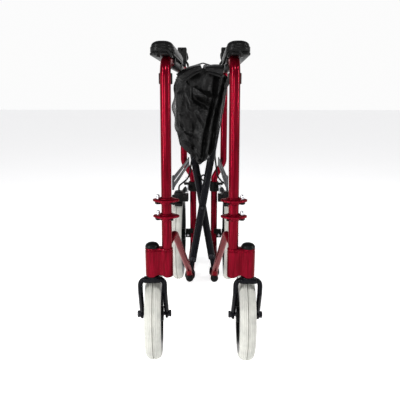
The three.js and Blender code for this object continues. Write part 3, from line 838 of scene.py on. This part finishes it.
washers = joined(*[turned(arc_profile(7.6, low, low + 2, 0.6), (0, 0, cross_z), "Y", 32)
                   for low in (-45.5, 1.1)])
piece("pivot_washers", washers, GLOSS, "cross_a", ())
ring_path = [(3 + 6.5 * math.cos(a), -19 + 2 * math.sin(2 * a), 388 + 7.5 * math.sin(a))
             for a in [math.pi / 12 * k for k in range(25)]]
cord = joined(tube(ring_path, 2.3, 14), tube([(-4, -18, 394), (-11, -17, 397)], 2.6, 12))
piece("fold_keeper_ring", cord, RUBBER, "cross_b", (), 60)


# ---- Soft goods ----
def crumple(p, size, height, seed):
    """Smooth repeatable folds: a displacement in millimetres at a point."""
    q = Vector(p) / size + Vector((seed, seed * 0.7, -seed))
    sharp = 1 - abs(noise.noise(q)) * 2.2
    return height * (sharp * 0.8 + 0.35 * noise.noise(q * 2.7))


def cloth(grid, thick, loop=False):
    """A closed thin shell round a grid of points, with softened edges."""
    rows, cols = len(grid), len(grid[0])
    normals = []
    for i in range(rows):
        line = []
        for j in range(cols):
            u = grid[min(i + 1, rows - 1)][j] - grid[max(i - 1, 0)][j]
            before, after = (j - 1, j + 1) if loop else (max(j - 1, 0), min(j + 1, cols - 1))
            v = grid[i][after % cols] - grid[i][before % cols]
            line.append(u.cross(v).normalized())
        normals.append(line)
    top = [[g + n * thick / 2 for g, n in zip(r, m)] for r, m in zip(grid, normals)]
    low = [[g - n * thick / 2 for g, n in zip(r, m)] for r, m in zip(grid, normals)]
    vertices = [p for r in top for p in r] + [p for r in low for p in r]
    base = rows * cols
    faces = []
    for i in range(rows - 1):
        for j in range(cols if loop else cols - 1):
            k = (j + 1) % cols
            a, b, c, d = i * cols + j, i * cols + k, (i + 1) * cols + k, (i + 1) * cols + j
            faces.append([a, b, c, d])
            faces.append([base + d, base + c, base + b, base + a])
    for j in range(cols if loop else cols - 1):
        k = (j + 1) % cols
        last = (rows - 1) * cols
        faces.append([k, j, base + j, base + k])
        faces.append([last + j, last + k, base + last + k, base + last + j])
    if not loop:
        for i in range(rows - 1):
            a, b = i * cols, (i + 1) * cols
            faces.append([a, b, base + b, base + a])
            faces.append([b + cols - 1, a + cols - 1, base + a + cols - 1, base + b + cols - 1])
    return vertices, faces


def along_line(points, count):
    """Points spaced evenly along a polyline."""
    p = [Vector(q) for q in points]
    lengths = [0.0]
    for a, b in zip(p, p[1:]):
        lengths.append(lengths[-1] + (b - a).length)
    out = []
    for k in range(count):
        want = lengths[-1] * k / (count - 1)
        i = next(i for i in range(1, len(p)) if want <= lengths[i] + 1e-9)
        span = lengths[i] - lengths[i - 1]
        out.append(p[i - 1].lerp(p[i], (want - lengths[i - 1]) / span))
    return out


def soft_piece(name, grid, thick, mat, stands_for=(), loop=False):
    o = piece(name, cloth(grid, thick, loop), mat, None, stands_for, 80)
    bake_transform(o)
    return o


def sling_grid():
    """The seat sling: arched up over the rails, with its slack tucked down in a middle pleat."""
    front, rear = -84, 178
    rows = 70
    grid = []
    for i in range(rows):
        t = i / (rows - 1)
        y = front + (rear - front) * t
        tuck = 12 + 62 * min(1, max(0, (t - 0.16) / 0.22))
        peak = 684 - 3 * math.sin(math.pi * t)
        outline = [
            (-64, y, 651.5), (-58, y, 656), (-48, y, 659), (-24, y, 674), (-9, y, peak),
            (-4, y, peak - 3), (-3, y, peak - tuck * 0.6), (-1, y, peak - tuck),
            (2, y, peak - tuck), (3.5, y, peak - tuck * 0.5), (4, y, peak - 4), (9, y, peak - 1),
            (24, y, 673), (48, y, 659), (58, y, 656), (64, y, 651.5),
        ]
        row = along_line(rounded(outline, 12, 4), 90)
        for p in row:
            if abs(p.x) > 8:
                lift = crumple(p, 26, 1.2, 3.1)
                p.z += lift - 0.5
        grid.append(row)
    return grid


sling = sling_grid()
soft_piece("seat_sling_cloth", sling, 1.4, NYLON,
           ["seat_sling"])
def ridge(value, centre, width):
    """A sharp crease: a tent that falls off to each side."""
    return max(0.0, 1 - abs(value - centre) / width)


def lobe(corners, bow, seed):
    """One turned-over flap of the sling's front hem, from its four corners seen from the front."""
    top_left, top_right, foot_right, foot_left = [Vector((x, 0, z)) for x, z in corners]
    grid = []
    for i in range(16):
        t = i / 15
        row = []
        for j in range(36):
            u = j / 35
            p = top_left.lerp(top_right, u).lerp(foot_left.lerp(foot_right, u), t)
            p.z += bow * math.sin(math.pi * u) * (1 - 0.5 * t)
            p.y = -92 - 33 * math.sin(min(1.0, t * 2.5) * math.pi / 2)
            p.y -= 3 * near_edge(t, 0.86) + crumple((p.x, seed, p.z), 16, 1.6, seed)
            row.append(p)
        grid.append(row)
    return grid


def near_edge(value, centre):
    return math.exp(-(((value - centre) / 0.06) ** 2))


LOBES = (
    ("left", [(-63, 659), (-4, 681.5), (3, 666), (-44, 637)], 5.5, 2.1),
    ("right", [(6, 678), (54, 680), (48.5, 649), (11, 661)], 2.5, 5.7),
)
for word, corners, bow, seed in LOBES:
    soft_piece(f"seat_hem_{word}", lobe(corners, bow, seed), 1.8, WEBBING)


def side_fold():
    """Slack cloth that bellies out beside the bag, under the left seat rail."""
    grid = []
    for i in range(28):
        t = i / 27
        row = []
        for j in range(20):
            y = -78 + 118 * j / 19
            belly = math.sin(math.pi * t) ** 0.6 * (0.75 + 0.25 * math.sin(t * 15))
            row.append(Vector((-63 - 13 * belly + 1.2 * math.sin(y * 0.12), y, 648 - 132 * t)))
        grid.append(row)
    return grid


soft_piece("seat_side_fold", side_fold(), 1.4, NYLON)


BAG_TOP = [(-64, 0, 648), (-24, 0, 667), (0, 0, 673), (24, 0, 667), (64.5, 0, 649)]
BAG_FOOT = [(-64, 0, 530), (-60, 0, 512), (-55, 0, 488), (-4, 0, 438),
            (22, 0, 462), (31, 0, 478), (45, 0, 547)]


def near(value, centre, width):
    return math.exp(-(((value - centre) / width) ** 2))


def facets(x, z, size, height):
    """Limp cloth breaks into flat plates that meet in creases: each plate leans its own way."""
    q = Vector((x, 0, z)) / size
    distances, centres = noise.voronoi(q)
    c = centres[0]
    edge = min(1.0, (distances[1] - distances[0]) * 3)
    lean_x = math.sin(c.x * 37 + c.z * 91)
    lean_z = math.cos(c.x * 53 - c.z * 17)
    return height * edge * (0.25 + lean_x * (q.x - c.x) + lean_z * (q.z - c.z))


def bag_folds(x, z):
    """How far the bag's front stands out or in: gathered folds, a hump and creased corners."""
    out = 0.0
    drop = (658 - z) / 198
    for k, weight in enumerate((8, -7, 7, -8, 5)):
        line = 63 - 36 * drop - 8.5 * k + 2.0 * math.sin(z * 0.04 + k)
        out += weight * ridge(x, line, 7)
    hump = ridge(x, 12, 34) ** 0.5
    out += 13 * ridge(z, 606 - 0.25 * (x - 10), 15) * hump
    out -= 9 * ridge(z, 585 - 0.5 * (x - 10), 11) * hump
    out += 3.2 * near(x, -25, 2.2) * (1 if z > 597 else 0.3)
    out -= 10 * ridge(x, 14 + 0.25 * (z - 600), 16) * near(z, 640, 26)
    out += 8 * ridge(x + 0.5 * (z - 545), 6, 12) * near(z, 548, 34)
    out -= 8 * ridge(x - 0.35 * (z - 540), -14, 12) * near(z, 540, 36)
    out += 9 * ridge(z + 0.75 * x, 488, 11) * near(x, -34, 30)
    out -= 7 * ridge(z + 0.75 * x, 467, 9) * near(x, -30, 26)
    out += 7 * ridge(z - 0.9 * x, 447, 10) * near(x, 6, 20)
    out += 6 * ridge(x, -56 + 0.06 * (z - 520), 7) * near(z, 575, 60)
    out += crumple((x, 0, z * 0.8), 30, 1.5, 4.4)
    out += facets(x + 0.3 * z, z * 0.8, 38, 15)
    return out


def bag_grid():
    """The hanging storage bag: a limp pouch, its front and back meeting along the gathered foot."""
    rows, half = 110, 96
    top, foot = along_line(BAG_TOP, half), along_line(BAG_FOOT, half)
    grid = []
    for i in range(rows):
        t = i / (rows - 1)
        full = 0.3 + 0.7 * math.sin(math.pi * min(1.0, 0.12 + t * 0.75)) ** 0.7
        row = []
        for face in (-1, 1):
            for j in range(half):
                k = j if face < 0 else half - 1 - j
                u = k / (half - 1)
                p = foot[k].lerp(top[k], t)
                p.y = -102 + face * 9 * full * (1 - (2 * u - 1) ** 4) ** 0.5
                edge = min(1.0, 14 * u * (1 - u))
                p.y -= edge * bag_folds(p.x, p.z) * (1 if face < 0 else -0.3)
                row.append(p)
        grid.append(row)
    return grid


bag = bag_grid()
soft_piece("storage_bag_shell", bag, 1.2, NYLON,
           ["storage_bag"], loop=True)


def ribbon(name, spine, width_at, thick, mat, stands_for=()):
    """A flat strap along a spine; width_at is the half-width vector."""
    grid = [[p - width_at, p - width_at * 0.33, p + width_at * 0.33, p + width_at] for p in spine]
    return soft_piece(name, grid, thick, mat, stands_for)


def bag_line(column, start, stop, radius):
    """Piping sewn along one upright line of the bag."""
    spine = [bag[i][column] * 1.0 for i in range(start, stop)]
    return tube(spine, radius, 10)


piping = joined(bag_line(29, 70, 108, 1.5), bag_line(94, 8, 108, 1.5), bag_line(2, 8, 108, 1.5))
pipe_piece = piece("bag_piping", piping, WEBBING, None, (), 80)
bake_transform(pipe_piece)

strap_spine = rounded([(-29, 53, 685.5), (-15.5, 53, 689.5), (0, 53, 694),
                       (15.5, 53, 689.5), (29, 53, 685.5)], 14, 6)
ribbon("lift_strap_webbing", strap_spine, Vector((0, 12.5, 0)), 2.2, WEBBING, ["lift_strap"])

# ---- Floor, light and camera ----
scene = bpy.context.scene
bpy.ops.mesh.primitive_plane_add(size=30, location=(0, 0, 0))
floor = bpy.context.object
floor.name = "floor"
floor_mat, nodes, links, shader = material("pale_floor", (0.9, 0.9, 0.9), 0.8)
tint = ramp(nodes, links, noise_node(nodes, links, 3, 2),
            [(0.3, (0.88, 0.88, 0.88)), (0.7, (0.93, 0.93, 0.93))])
links.new(tint, shader.inputs["Base Color"])
shader.inputs["Emission Color"].default_value = (1, 1, 1, 1)
shader.inputs["Emission Strength"].default_value = 0.7
floor.data.materials.append(floor_mat)

world = bpy.data.worlds.new("studio")
scene.world = world
world.use_nodes = True
nodes, links = world.node_tree.nodes, world.node_tree.links
split = nodes.new("ShaderNodeSeparateXYZ")
links.new(nodes.new("ShaderNodeTexCoord").outputs["Generated"], split.inputs["Vector"])
studio = ramp(nodes, links, split.outputs["Z"], [(0.2, (0.97, 0.97, 0.97)), (0.36, (0.1, 0.1, 0.11))])
links.new(studio, nodes["Background"].inputs["Color"])
nodes["Background"].inputs["Strength"].default_value = 1.0


def area_light(name, place, target, size, power):
    data = bpy.data.lights.new(name, "AREA")
    data.shape = "RECTANGLE"
    data.size, data.size_y = size
    data.energy = power
    light = bpy.data.objects.new(name, data)
    light.location = place
    light.rotation_euler = (Vector(target) - Vector(place)).to_track_quat("-Z", "Y").to_euler()
    bpy.context.collection.objects.link(light)
    return light


area_light("key_left", (-1.6, -1.3, 1.1), (0, 0, 0.4), (0.13, 1.9), 40)
area_light("rim_right", (1.9, -0.6, 1.2), (0, 0, 0.4), (0.12, 1.6), 24)
area_light("front_low", (-0.4, -1.75, 0.7), (0, -0.3, 0.5), (0.08, 0.7), 7)
area_light("front_top", (0.2, -1.6, 2.1), (0, -0.2, 0.4), (0.4, 0.3), 12)

CAMERA_AT = (0.021, -1.235, 0.617)
CAMERA_DOWN = 13.5
CAMERA_TURN = 1.3
camera_data = bpy.data.cameras.new("camera")
camera_data.sensor_width = 36
camera_data.lens = 40.5
camera = bpy.data.objects.new("camera", camera_data)
bpy.context.collection.objects.link(camera)
camera.location = CAMERA_AT
camera.rotation_euler = (math.radians(90 - CAMERA_DOWN), 0, math.radians(CAMERA_TURN))
scene.camera = camera

scene.view_settings.view_transform = "Standard"
scene.view_settings.look = "None"
